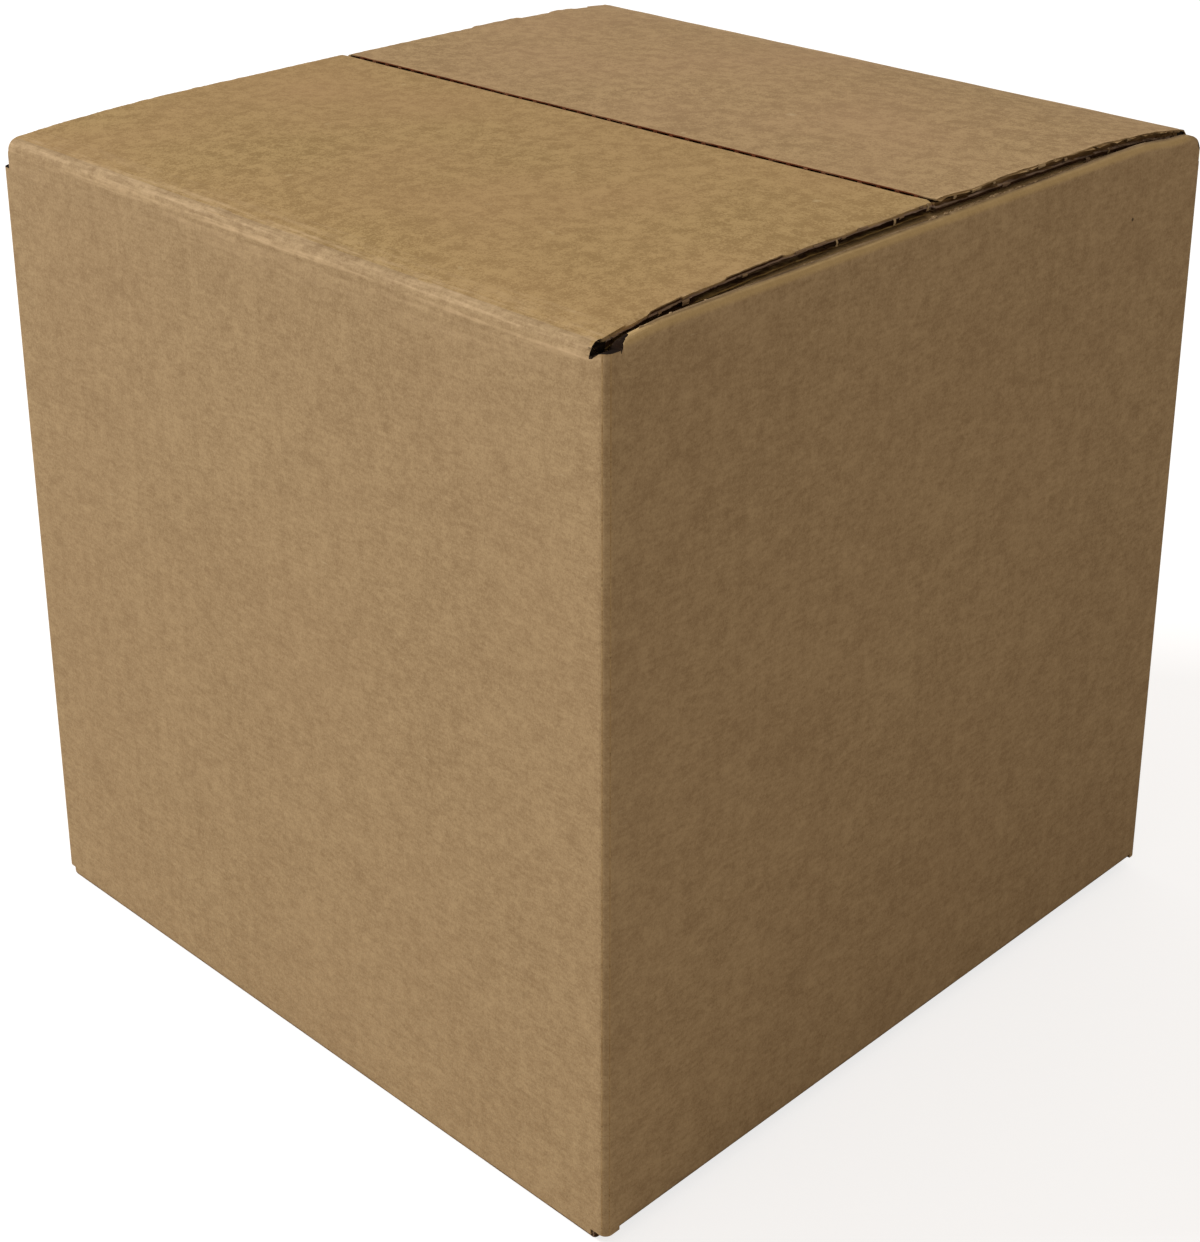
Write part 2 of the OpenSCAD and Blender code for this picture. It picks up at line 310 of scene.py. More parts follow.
give(pulp_group, pulp_out, {
    "Tone": math_node(tree, "ADD", "tone round a half", tone, 0.5, clamp=True),
    "Warmth": math_node(tree, "MULTIPLY_ADD", "warmth", warm_patch, 0.9, 0.5, clamp=True),
    "Light Fibres": math_node(tree, "MULTIPLY", "light fibres", light, 5.0, clamp=True),
    "Dark Fibres": math_node(tree, "MULTIPLY", "dark fibres", dark, 5.0, clamp=True),
    "Height": math_node(tree, "ADD", "relief", felt, clot_relief)})

# %% [markdown]
# ## Flutes that print through
# The liner sinks a little between the flutes it is glued to, and under light this shows as faint
# upright bands on a wall. Here the bands are painted into the tone, as painted shading of that
# shallow relief. Each piece of board carries a map named board: its first value runs across the
# flutes and its second along them, in metres, so the bands follow the board round every fold.

# %% The flute bands as a group
flute_group, flute_in, flute_out = new_group(
    "flute_bands",
    [("Across", FLOAT, 0.0), ("Along", FLOAT, 0.0), ("Pitch", FLOAT, FLUTE)],
    [("Band", FLOAT)],
)
tree = flute_group
turns = math_node(tree, "DIVIDE", "flutes", flute_in.outputs["Across"], flute_in.outputs["Pitch"])
wave = math_node(tree, "COSINE", "wave", math_node(tree, "MULTIPLY", "turn", turns, 2 * math.pi))
flute_place = add_node(tree, "ShaderNodeCombineXYZ", "board place", {
    "X": flute_in.outputs["Across"], "Y": flute_in.outputs["Along"]})
fading = cloud(tree, "bands come and go", flute_place.outputs[0], 14, 2.0, 0.5, (1.0, 0.25, 1.0))
fading = math_node(tree, "MULTIPLY_ADD", "fading", fading, 0.9, 0.45, clamp=True)
give(flute_group, flute_out, {"Band": math_node(tree, "MULTIPLY", "band", wave, fading)})

# %% [markdown]
# ## Scuffed folds
# Where the liner was creased and handled, the top layer of fibres broke and shows lighter, in
# thin streaks along the fold. A drawn mask would fit one box only. Here a stretched noise gives
# the streaks, and a value named wear, kept in each mesh, says how strong they are.

# %% The scuffed crease as a group
scuff_group, scuff_in, scuff_out = new_group(
    "crease_scuff",
    [("Place", VECTOR, None), ("Wear", FLOAT, 0.0)],
    [("Worn", FLOAT), ("Height", FLOAT)],
)
tree = scuff_group
place, wear = scuff_in.outputs["Place"], scuff_in.outputs["Wear"]
streaks = cloud(tree, "streaks along the fold", place, 300, 3.0, 0.6, (0.07, 1.6, 1.6))
broken = cloud(tree, "broken fibres", place, 480, 3.0, 0.6, (0.5, 1.0, 1.0))
broken = math_node(tree, "MULTIPLY", "fibre share", broken, 0.5)
lines = math_node(tree, "ADD", "streaks and fibres", streaks, broken)
lines = math_node(tree, "MULTIPLY_ADD", "raised streaks", lines, 1.5, 0.22)
give(scuff_group, scuff_out, {
    "Worn": math_node(tree, "MULTIPLY", "worn", lines, wear, clamp=True),
    "Height": math_node(tree, "MULTIPLY", "streak relief", streaks, wear)})

# %% [markdown]
# ## Mixing paper colours
# Every mark on the paper is a colour laid over the last one, where a value is high. A helper
# does that, and another ends a paper material: matt, with a fine relief. From here on each
# colour is three numbers, as a screen shows it.

# %% Helpers for paper materials
def mesh_value(tree, label, name, output="Fac"):
    return add_node(tree, "ShaderNodeAttribute", label, attribute_name=name).outputs[output]


def as_paint(colour):
    return paint(*colour) if isinstance(colour, tuple) else colour


def mix_colour(tree, label, share, first, second):
    return add_node(tree, "ShaderNodeMix", label, {
        0: share, 6: as_paint(first), 7: as_paint(second)}, data_type="RGBA").outputs[2]


def tint(tree, label, value, strength, under, over):
    share = math_node(tree, "MULTIPLY", label + ", share", value, strength)
    return mix_colour(tree, label, share, under, over)


def paper_surface(tree, colour, height, strength, distance, roughness, specular):
    bump = add_node(tree, "ShaderNodeBump", "relief", {
        "Strength": strength, "Distance": distance, "Height": height})
    shader = add_node(tree, "ShaderNodeBsdfPrincipled", "paper", {
        "Base Color": colour, "Normal": bump.outputs[0], "Roughness": roughness,
        "Specular IOR Level": specular})
    add_node(tree, "ShaderNodeOutputMaterial", "surface", {"Surface": shader.outputs[0]})


print("a raised fibre is", as_paint((208, 180, 142)))

# %% [markdown]
# ## The bark speck
# One dark speck of bark sits in the right wall's liner. It could be a tiny disc of its own, but
# in real liner it lies in the sheet, so it is a spot of colour at one place.

# %% The speck
SPECK_PLACE = (HALF_L, 0.1122, 0.2918)
SPECK_EDGE = -2200.0


def speck_at(tree, place):
    far = add_node(tree, "ShaderNodeVectorMath", "from the speck", {0: place, 1: SPECK_PLACE},
                   operation="DISTANCE").outputs["Value"]
    return math_node(tree, "MULTIPLY_ADD", "speck", far, SPECK_EDGE, 1.9, clamp=True)


print("speck", [round(value / MM) for value in SPECK_PLACE], "mm from the middle of the base")

# %% [markdown]
# ## The outer liner
# The outer liner is a yellowish tan, set redder on the walls than on the flaps. The three liners
# share one recipe: pulp, flute bands, warm patches, single fibres, and then wear, a painted
# highlight, and pressed lines with painted shade, from the values in the mesh.

# %% Kraft liner materials
def kraft_liner(name, dark, light, warm, fibre_light, fibre_dark, bands, warmth, grain, blotch):
    material = new_material(name)
    tree = material.node_tree
    place = mesh_value(tree, "place on the flat", "place", "Vector")
    board = add_node(tree, "ShaderNodeUVMap", "board map", uv_map="board")
    split = add_node(tree, "ShaderNodeSeparateXYZ", "across and along", {0: board.outputs[0]})
    pulp = add_node(tree, "ShaderNodeGroup", "pulp", {
        "Grain": grain, "Blotch": blotch, "Patch": 0.16, "Place": place}, node_tree=pulp_group)
    flutes = add_node(tree, "ShaderNodeGroup", "flutes", {
        "Across": split.outputs["X"], "Along": split.outputs["Y"]}, node_tree=flute_group)
    scuff = add_node(tree, "ShaderNodeGroup", "scuff", {
        "Place": place, "Wear": mesh_value(tree, "wear of the liner", "wear")},
        node_tree=scuff_group)

    # The flute bands are painted shading: the tone darkens and lightens across the flutes.
    banded = math_node(tree, "MULTIPLY_ADD", "tone with bands", flutes.outputs["Band"], bands,
                       pulp.outputs["Tone"])
    tan = mix_colour(tree, "dark to light tan", banded, dark, light)
    pressed = cloud(tree, "lines pressed along the edge", place, 330, 3.0, 0.6, (2.4, 0.10, 1.0))
    pressed = math_node(tree, "MULTIPLY_ADD", "pressed lines", pressed, 0.9, 0.55, clamp=True)
    for label, value, strength, over in (
            ("warm patches", pulp.outputs["Warmth"], warmth, warm),
            ("light fibres", pulp.outputs["Light Fibres"], 0.35, fibre_light),
            ("dark fibres", pulp.outputs["Dark Fibres"], 0.30, fibre_dark),
            ("scuffed fold", scuff.outputs["Worn"], 0.75, (208, 180, 142)),
            # Painted highlight: the ridge of the end walls is painted lighter, where light would
            # catch the fold.
            ("painted highlight on the ridge", mesh_value(tree, "painted highlight mask", "painted_highlight"), 0.5, (206, 176, 118)),
            # Pressed lines and painted shade: dark lines along the ledge, and darkening where the
            # ledge lies under the flap ends and deep in the corner slots.
            ("pressed lines and painted shade", pressed, mesh_value(tree, "painted shade of the board", "shade"),
             (62, 42, 18)),
            ("bark speck", speck_at(tree, place), 0.8, (40, 26, 16))):
        tan = tint(tree, label, value, strength, tan, over)

    height = math_node(tree, "MULTIPLY_ADD", "felt and streaks", scuff.outputs["Height"], 2.6,
                       pulp.outputs["Height"])
    paper_surface(tree, tan, height, strength=0.5, distance=0.06 * MM, roughness=0.82,
                  specular=0.28)
    print("material", name, "with", len(tree.nodes), "nodes")
    return material


wall_liner = kraft_liner(
    "kraft_wall_liner", (144, 119, 85), (173, 148, 111), (161, 132, 99), (200, 180, 146),
    (100, 76, 50), bands=0.06, warmth=0.16, grain=0.50, blotch=0.30)
front_liner = kraft_liner(
    "kraft_front_flap_liner", (144, 118, 72), (176, 149, 100), (170, 135, 96), (214, 194, 150),
    (92, 68, 38), bands=0.03, warmth=0.55, grain=0.92, blotch=0.30)
back_liner = kraft_liner(
    "kraft_back_flap_liner", (147, 121, 83), (178, 151, 109), (171, 138, 105), (214, 194, 156),
    (94, 70, 44), bands=0.03, warmth=0.50, grain=0.92, blotch=0.28)

# %% [markdown]
# ## The raw edges
# Where the knife cut the board, its section shows: thin light liners and the greyer medium
# between them. The section reads a value named depth, 0 at the outer liner and 1 at the inner
# one, and is streaked along the cut by torn fibres. Where a flute was slit open, the layers
# came apart, so each kind of cut has its own run of colours from liner to liner.

# %% The recipe of a raw edge
def cut_board(name, layers, grain_way, light_share=0.5):
    """Layers are pairs of a depth in the board and its colour, the grain way is a stretch.
    Where the value pressed is 1, the slit under the lip is closed by torn liner."""
    material = new_material(name)
    tree = material.node_tree
    place = mesh_value(tree, "place on the flat", "place", "Vector")
    torn = cloud(tree, "torn fibres", place, 260, 4.0, 0.65)
    waves = cloud(tree, "waves of the cut", place, 70, 3.0, 0.6)
    level = math_node(tree, "MULTIPLY_ADD", "frayed layers", torn, 0.035,
                      mesh_value(tree, "depth in the board", "depth"))
    moved = math_node(tree, "MULTIPLY_ADD", "wavy layers", waves, 0.07, level)
    ramp = add_node(tree, "ShaderNodeValToRGB", "layers of the board", {"Fac": moved})
    for index, (at, colour) in enumerate(layers):
        stops = ramp.color_ramp.elements
        stop = stops[index] if index < 2 else stops.new(at)
        stop.position = at
        stop.color = paint(*colour)
    under_lip = math_node(tree, "SUBTRACT", "above the medium", 0.29, moved)
    under_lip = math_node(tree, "MULTIPLY", "under the lip", under_lip, 30.0, clamp=True)
    section = tint(tree, "torn liner over the slit", under_lip,
                   mesh_value(tree, "lip pressed down", "pressed"), ramp.outputs["Color"],
                   (160, 133, 94))
    streak = cloud(tree, "fibre streaks", place, 800, 3.0, 0.6, grain_way)
    dark = math_node(tree, "MULTIPLY_ADD", "dark streaks", streak, 1.6, -0.05, clamp=True)
    light = math_node(tree, "MULTIPLY_ADD", "light streaks", streak, -1.6, -0.15, clamp=True)
    section = tint(tree, "streaked dark", dark, 0.75, section, (46, 29, 16))
    section = tint(tree, "streaked light", light, light_share, section, (198, 172, 130))
    # Painted shade: where the value shade is high, the section is painted nearly black, as deep in
    # the corner slots.
    section = mix_colour(tree, "in the dark", mesh_value(tree, "painted shade of the board", "shade"),
                         section, (22, 13, 7))
    paper_surface(tree, section, torn, strength=0.8, distance=0.25 * MM, roughness=0.95,
                  specular=0.1)
    print("material", name, "with", len(tree.nodes), "nodes")
    return material


print("a cut is", BOARD / MM, "mm from liner to liner")

# %% [markdown]
# ## Kinds of cut
# A cut across the flutes shows its cells, and its upper layers are painted dark brown: partly
# the cut's own colour, partly painted shade of the narrow seam between the flaps. A cut along
# them slit one flute open, high in one flap and low in the other; its darkest layers are painted
# shade in the slit and under the lip. The cuts in the slots at the corners are painted nearly
# black, as painted shade. Torn paper is a cut of its own, for flakes and crumbs.

# %% Raw edge materials
ALONG_X = (0.12, 1.0, 1.4)
ALONG_Y = (1.0, 0.12, 1.4)
LIP = (176, 150, 110)
MEDIUM = (158, 135, 118)
# The darkest colour is painted shade: in the slit flute, under the lip and in the gap below a
# flap's end.
SLIT_SHADE = (64, 42, 24)
# The upper layers of the cut across the flutes are dark brown: partly the cut's own colour, partly
# painted shade of the narrow seam.
seam_cut = cut_board("board_cut_across_flutes", (
    (0.0, (122, 66, 38)), (1.0, LIP), (0.12, (104, 50, 27)), (0.3, (104, 58, 36)),
    (0.5, (92, 56, 36)), (0.86, MEDIUM)), ALONG_X)
torn_paper = cut_board("torn_paper", (
    (0.0, (186, 162, 124)), (1.0, MEDIUM), (0.5, (140, 116, 90))), ALONG_Y)
high_slit_cut = cut_board("board_cut_with_high_slit", (
    (0.0, LIP), (1.0, SLIT_SHADE), (0.07, (168, 140, 100)), (0.12, (120, 94, 58)),
    (0.54, (100, 74, 44)), (0.60, (160, 139, 122)), (0.72, MEDIUM), (0.79, SLIT_SHADE)),
    ALONG_Y)
low_slit_cut = cut_board("board_cut_with_low_slit", (
    (0.0, LIP), (1.0, (126, 104, 60)), (0.08, (150, 122, 84)), (0.13, SLIT_SHADE),
    (0.25, SLIT_SHADE), (0.30, MEDIUM), (0.42, (150, 127, 110)), (0.47, SLIT_SHADE), (0.88, SLIT_SHADE),
    (0.92, (136, 112, 66))), ALONG_Y)
# The cut in the slots is painted nearly black: painted shade in the depth of the corner holes.
slot_cut_painted_shade = cut_board("board_cut_painted_shade_in_slots", (
    (0.0, (34, 22, 14)), (1.0, (22, 14, 8)), (0.3, (18, 11, 7)),
    (0.6, (32, 21, 14))), ALONG_Y, light_share=0.12)

# %% [markdown]
# ## The shape of the folded sheet
# The outer flaps rise from their crease and lie over the inner ones in a long soft curve. It
# could be measured on the rigid model point by point. The formula that shaped the model is
# shorter and smooth, so worn edges and the skin of the creases follow the curve closely.

# %% Curve of the flaps
def smooth_step(low, high, value):
    share = min(1.0, max(0.0, (value - low) / (high - low)))
    return share * share * (3 - 2 * share)


def wander(first, second, third):
    """Smooth noise around zero, the same again for the same three values."""
    return noise.noise(Vector((first, second, third)))


def from_face(y):
    """How far in from the front or back face."""
    return HALF_W - abs(y)


def from_end(x):
    """How far in from the right or left face."""
    return HALF_L - abs(x)


def climb(v):
    if v <= CREASE:
        return 0.0
    whole = 1 - math.exp(-(HALF_W - CREASE) / RISE_RUN)
    return (1 - math.exp(-(v - CREASE) / RISE_RUN)) / whole


def rise_at(x):
    return RISE_LEFT + (RISE_RIGHT - RISE_LEFT) * (x - FLAP_LEFT) / (FLAP_RIGHT - FLAP_LEFT)


def flap_top(x, y):
    return CREASE_Z + rise_at(x) * climb(from_face(y))


def inner_top(x, y):
    return flap_top(x, y) - BOARD - INNER_CLEAR


print("top at the seam in mm, left and right",
      [round(flap_top(x, 0) / MM, 1) for x in (FLAP_LEFT, FLAP_RIGHT)])

# %% [markdown]
# ## Pieces of board from the cut blanks
# The rigid model already has the cut and the flutes of each piece of board. They could be built
# again, but a copy of its mesh is exact. Merged and sliced by planes, it has points to move, so
# cut ends get ragged and liner edges curl a little. The copy then stands for the plain node.

# %% Helpers for the copies
WELD = 1e-6


def loosened_copy(node):
    bm = bmesh.new()
    bm.from_mesh(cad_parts[node].data)
    bmesh.ops.remove_doubles(bm, verts=bm.verts[:], dist=WELD)
    return bm


def slice_across(bm, axis, places, keep=None):
    for place in places:
        point, normal = Vector((0, 0, 0)), Vector((0, 0, 0))
        point[axis] = place
        normal[axis] = 1
        faces = bm.faces[:] if keep is None else [f for f in bm.faces if keep(f)]
        edges = {e for f in faces for e in f.edges}
        verts = {v for f in faces for v in f.verts}
        bmesh.ops.bisect_plane(bm, geom=list(verts) + list(edges) + faces, dist=WELD,
                               plane_co=point, plane_no=normal)


def spaced(low, high, step):
    count = max(1, round((high - low) / step))
    return [low + (high - low) * i / count for i in range(1, count)]


print("20 mm in steps of 5 is cut at", spaced(0, 20, 5))

# %% [markdown]
# ## From a mesh to a piece
# Each point gets the marks that the paper reads. A painted mask would need a picture, but a
# value in the mesh is as sharp as its points and stays on them when they move.

# %% Helpers for the pieces
MARKS = ("depth", "wear", "shade", "pressed", "painted_highlight")


def new_marks(bm, *names):
    place = bm.verts.layers.float_vector.new("place")
    return place, *[bm.verts.layers.float.new(name) for name in names]


def thicken(bm, thickness, outward=None):
    """Gives a strip of paper its thickness, with all faces turned outward first."""
    bmesh.ops.recalc_face_normals(bm, faces=bm.faces[:])
    if outward and sum(face.normal.dot(outward) for face in bm.faces) < 0:
        bmesh.ops.reverse_faces(bm, faces=bm.faces[:])
    bmesh.ops.solidify(bm, geom=bm.faces[:], thickness=thickness)


def add_piece(bm, name, materials, sharp=40):
    """Turns a worked mesh into a piece of the scene."""
    for face in bm.faces:
        face.smooth = True
    mesh = bpy.data.meshes.new(name)
    bm.to_mesh(mesh)
    bm.free()
    for material in materials:
        mesh.materials.append(material)
    mesh.set_sharp_from_angle(angle=math.radians(sharp))
    piece = into_scene(name, mesh)
    print(name, len(mesh.polygons), "faces")
    return piece


def finish_board(bm, name, body, node, marks_at, across_at, kind_of, materials, move):
    """Gives a piece of board its marks and materials, then moves its points and rides it."""
    place, *layers = new_marks(bm, *MARKS)
    board = bm.loops.layers.uv.new("board")
    for vert in bm.verts:
        vert[place] = vert.co
        for mark, layer in zip(MARKS, layers):
            vert[layer] = marks_at[mark](vert.co) if mark in marks_at else 0.0
    bm.normal_update()
    for face in bm.faces:
        face.material_index = kind_of(face)
        for loop in face.loops:
            loop[board].uv = across_at(loop.vert.co, face.normal)
    for vert, shift in [(vert, move(vert.co)) for vert in bm.verts]:
        vert.co += shift
    piece = add_piece(bm, name, materials, 32)
    piece.modifiers.new("flat faces stay flat", "WEIGHTED_NORMAL").keep_sharp = True
    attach(piece, body)
    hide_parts(node)


print("marks", MARKS)

# %% [markdown]
# ## The outer flaps
# Each flap's right and left ends were cut along the flutes, so the knife slit one flute open:
# a thin lip of liner stands over a groove. Which face is liner and which is raw could be painted
# by hand. Here it follows from where a face lies, which also holds for another size of box.

# %% Marks and faces of the flaps
SLIT_END = SLIT + 0.2 * MM
LIP_CLOSED = ((6, 24), (39.5, 57), (85, 160))


def to_end(co):
    return min(co.x - FLAP_LEFT, FLAP_RIGHT - co.x)


def flap_depth(co):
    return (flap_top(co.x, co.y) - co.z) / BOARD


def flap_wear(co):
    at_fold = 1.0 - smooth_step(3 * MM, 9 * MM, from_face(co.y))
    return max(at_fold, 0.55 * (1 - smooth_step(0.2 * MM, 2.4 * MM, to_end(co))))


def flap_across(co, normal):
    return (co.x, from_face(co.y))


def lip_pressed(co):
    """1 where the lip of a flap end was pressed down over its slit, from the photograph."""
    v, share = from_face(co.y), 0.0
    if to_end(co) > SLIT + 0.3 * MM:
        return share
    for start, end in LIP_CLOSED:
        share = max(share, smooth_step(start * MM - 1.5 * MM, start * MM, v) *
                    (1 - smooth_step(end * MM, end * MM + 1.5 * MM, v)))
    return share


def flap_kind(side):
    """0 liner, 1 cut across the flutes, 2 end with a high slit, 3 with a low slit, 4 slot, painted
    dark as painted shade.
    The high slit is at the left end in the front flap and at the right end in the back flap."""
    def kind(face):
        centre, normal = face.calc_center_median(), face.normal
        if from_face(centre.y) < CREASE + BOARD:
            is_raw = abs(normal.x) > 0.7
        else:
            is_raw = not (abs(normal.z) > 0.7 and not 0.04 <= flap_depth(centre) <= 0.96)
        if not is_raw:
            return 0
        if to_end(centre) > SLIT_END:
            return 1
        if from_face(centre.y) < 7 * MM:
            return 4
        return 2 if centre.x * side > 0 else 3
    return kind


def near_flap_end(face):
    return to_end(face.calc_center_median()) < SLIT_END


print("the lip is pressed down at", LIP_CLOSED, "mm from the face")

# %% [markdown]
# ## Frayed ends and a warped sheet
# The lip at a flap's end is ragged, and the whole flap is not quite flat, because the flutes and
# the damp bend it. A displacement modifier would move everything alike. Moving the points one by
# one lets each edge fray in its own way: long waves, short tears and fine fibres at the ends.

# %% Make the two outer flaps
def ragged(along, level, seed):
    """How far a cut end stands out, in metres."""
    waves = wander(along * 26, level * 0.6, seed)
    tears = wander(along * 120, level * 1.6, seed + 7)
    fibre = wander(along * 700, level * 4.0, seed + 13)
    return (0.55 * waves + 0.45 * tears + 0.22 * fibre) * MM


def flap_move(side, seed, seam_y):
    """How a point of a flap moves: the sheet warps, its ends fray, its seam edge gives way."""
    def move(co):
        settled = smooth_step(8 * MM, 40 * MM, from_face(co.y))
        shift = Vector((0, 0, 0.22 * MM * settled * wander(co.x * 14, co.y * 18, seed)))
        level = flap_depth(co)
        outward = math.copysign(1, co.x)
        if abs(co.y - seam_y) < TOUCH:
            uneven = 0.25 * MM * wander(co.x * 60, 0.5, seed)
            shift.y += side * (0.6 * MM + uneven)
        if to_end(co) < TOUCH:
            out = ragged(co.y, level * 2.2, seed + (1 if co.x > 0 else 3))
            shift.x += outward * (out - 0.35 * MM)
            shift.z += 0.20 * MM * wander(co.y * 240, level, seed)
            on_lip = 1 - smooth_step(0.08, 0.3, level)
            shift.z += 0.7 * MM * on_lip * (co.x > 0) * wander(co.y * 55, 4.0, seed)
            if co.x * side < 0:
                shift.z -= 0.55 * MM * on_lip * lip_pressed(co)
        elif to_end(co) < SLIT + 0.05 * MM and co.x * side > 0 and 0.05 < level < 0.6:
            shift.x += outward * 1.4 * MM
        return shift
    return move


for node, name, body, liner, side, seed in (
        ("top_flap_front", "front_flap_board", "front_flap", front_liner, -1, 11),
        ("top_flap_back", "back_flap_board", "back_flap", back_liner, 1, 29)):
    bm = loosened_copy(node)
    low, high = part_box(node)
    slice_across(bm, 0, spaced(low.x, high.x, 10 * MM))
    slice_across(bm, 1, spaced(low.y, high.y, 5 * MM))
    slice_across(bm, 0, (low.x + SLIT, high.x - SLIT))
    slice_across(bm, 1, spaced(low.y, high.y, 0.9 * MM), near_flap_end)
    finish_board(bm, name, body, node,
                 {"depth": flap_depth, "wear": flap_wear, "pressed": lip_pressed},
                 flap_across, flap_kind(side),
                 (liner, seam_cut, high_slit_cut, low_slit_cut, slot_cut_painted_shade),
                 flap_move(side, seed, high.y if side < 0 else low.y))

# %% [markdown]
# ## The ridge of the end walls
# At the right and left end the sheet rolls over into the inner flap. The outer flaps pressed the
# inner one down, so its ridge stands free beside them and sinks towards the corners, where
# nothing holds it up. A softer shape could be modelled anew. Moving the sliced copy's points
# keeps the slots and the roll of the rigid model, and only bends them.

# %% Shape the ridge and the corners
LEDGE_END = {1: 6.4 * MM, -1: 4.2 * MM}
NEAR_REACH = 27 * MM
RIM_LOW = CREASE_Z - 5.5 * MM


def end_top(side):
    return inner_top(side * HALF_L, 0) + ROLL_LIFT


def ridge_drop(y):
    """How far the ridge of the end wall sinks towards the corners."""
    if y > 0:
        return 2.2 * MM * (1 - smooth_step(14 * MM, 42 * MM, from_face(y)))
    return 1.7 * MM * (1 - smooth_step(8 * MM, 26 * MM, from_face(y)))


def ledge_height(side, u, y):
    """Height of the board from the ridge of the end wall inwards, u from the outer face."""
    ridge = end_top(side) - ridge_drop(y)
    low = min(inner_top(side * (HALF_L - LEDGE_END[side]), y) + TOUCH, ridge - 2.0 * MM)
    return ridge + (low - ridge) * smooth_step(2.8 * MM, LEDGE_END[side], u)


def near_corner_move(co):
    """At the corner nearest to the camera the slot is short and its far rim stands steep."""
    u, v = HALF_L - co.x, HALF_W + co.y
    shift = Vector((0, 0, 0))
    if u > LEDGE_END[1] + 0.8 * MM or v > NEAR_REACH or co.z < RIM_LOW:
        return shift
    if v > INNER_FRONT - TOUCH and u < LEDGE_END[1] + TOUCH:
        steep = 0.7 * MM + 0.65 * min(v - INNER_FRONT, 4.4 * MM)
        up = smooth_step(RIM_LOW, CREASE_Z - 4.4 * MM, co.z)
        shift.y = -steep * up * (1 - smooth_step(11 * MM, NEAR_REACH, v))
    if v < 11.2 * MM and co.z > SLOT_Z - 1.1 * MM:
        rim = 1 - smooth_step(SLOT_Z + 0.2 * MM, SLOT_Z + 4.5 * MM, co.z)
        shift.z = 1.8 * MM * rim * (1 - smooth_step(1.5 * MM, 7 * MM, u))
    return shift


def body_move(co):
    side = 1 if co.x > 0 else -1
    u = from_end(co.x)
    on_end = 1 - smooth_step(9 * MM, 22 * MM, u)
    up = smooth_step(CREASE_Z - 14 * MM, CREASE_Z - 1.5 * MM, co.z)
    shift = Vector((0, 0, -ridge_drop(co.y) * up * on_end))
    if co.x > 0 and co.y < 0:
        shift += near_corner_move(co)
        if HALF_W + co.y < INNER_FRONT + 0.2 * MM:
            shift.z += ridge_drop(co.y) * up * on_end
    if ROLL < u < LEDGE_END[side] + TOUCH:
        shift.z = min(shift.z, ledge_height(side, u, co.y) - co.z)
    return shift


print("ridge in mm, left and right", [round(end_top(side) / MM, 1) for side in (-1, 1)])

# %% [markdown]
# ## The marks of the body
# The walls are worn along the top crease, the ridge gets a painted highlight, and the corner
# slots get painted shade. Each follows from where a point lies, so a few formulas are enough.

# %% Marks of the body
def is_inner_flap(co):
    return (co.z > SLOT_Z - 8 * MM and from_end(co.x) > BOARD * 0.5 - 0.05 * MM and
            from_face(co.y) > INNER_BACK - TOUCH)


def body_depth(co):
    if is_inner_flap(co):
        return min(1.0, max(0.0, (inner_top(co.x, co.y) - co.z) / BOARD))
    return min(from_end(co.x), from_face(co.y)) / BOARD


def corner_shade(co):
    """Painted shade, high in the depth of a corner slot, where hardly any light comes in."""
    if from_end(co.x) > 24.5 * MM or co.z < SLOT_Z - 9 * MM:
        return 0.0
    inside = smooth_step(0.08, 0.4, min(from_end(co.x), from_face(co.y)) / BOARD)
    return 0.8 * inside * (1 - smooth_step(7.6 * MM, 9.4 * MM, from_face(co.y)))


def body_wear(co):
    at_crease = 0.6 * smooth_step(CREASE_Z - 12 * MM, CREASE_Z - 4 * MM, co.z)
    on_front = 1.0 - smooth_step(0.5 * MM, 2 * MM, from_face(co.y))
    top = end_top(math.copysign(1, co.x))
    on_end = smooth_step(top - 5 * MM, top - 1 * MM, co.z)
    return max(at_crease * on_front, 0.35 * on_end)


def ridge_painted_highlight(co):
    """1 on the ridge of the end walls, where a painted highlight lies along the fold."""
    top = end_top(math.copysign(1, co.x))
    on_ridge = smooth_step(top - 2.9 * MM, top - 1.0 * MM, co.z)
    ends = smooth_step(6 * MM, 16 * MM, from_face(co.y))
    return on_ridge * (0.35 + 0.65 * ends) * (from_end(co.x) < 7 * MM)


def body_across(co, normal):
    if abs(normal.x) > 0.5:
        return (co.y, co.z)
    if abs(normal.y) > 0.5 or co.z < BOARD * 0.9:
        return (co.x, co.z if abs(normal.y) > 0.5 else co.y)
    return (co.y, co.x)


print("wear at the top of the front wall", round(body_wear(Vector((0, -HALF_W, CREASE_Z))), 2))

# %% [markdown]
# ## The carton's body
# Walls, inner flaps and bottom flaps are one piece. It is told apart into liner and raw edge by
# where a face lies: a cut face is one that lies on neither side of the sheet.

# %% Make the body
SLOT_INNER = 24 * MM
GAP_STRIP = 17.2 * MM


def beside(value, *places):
    return any(abs(abs(value) - place) < 0.12 * MM for place in places)


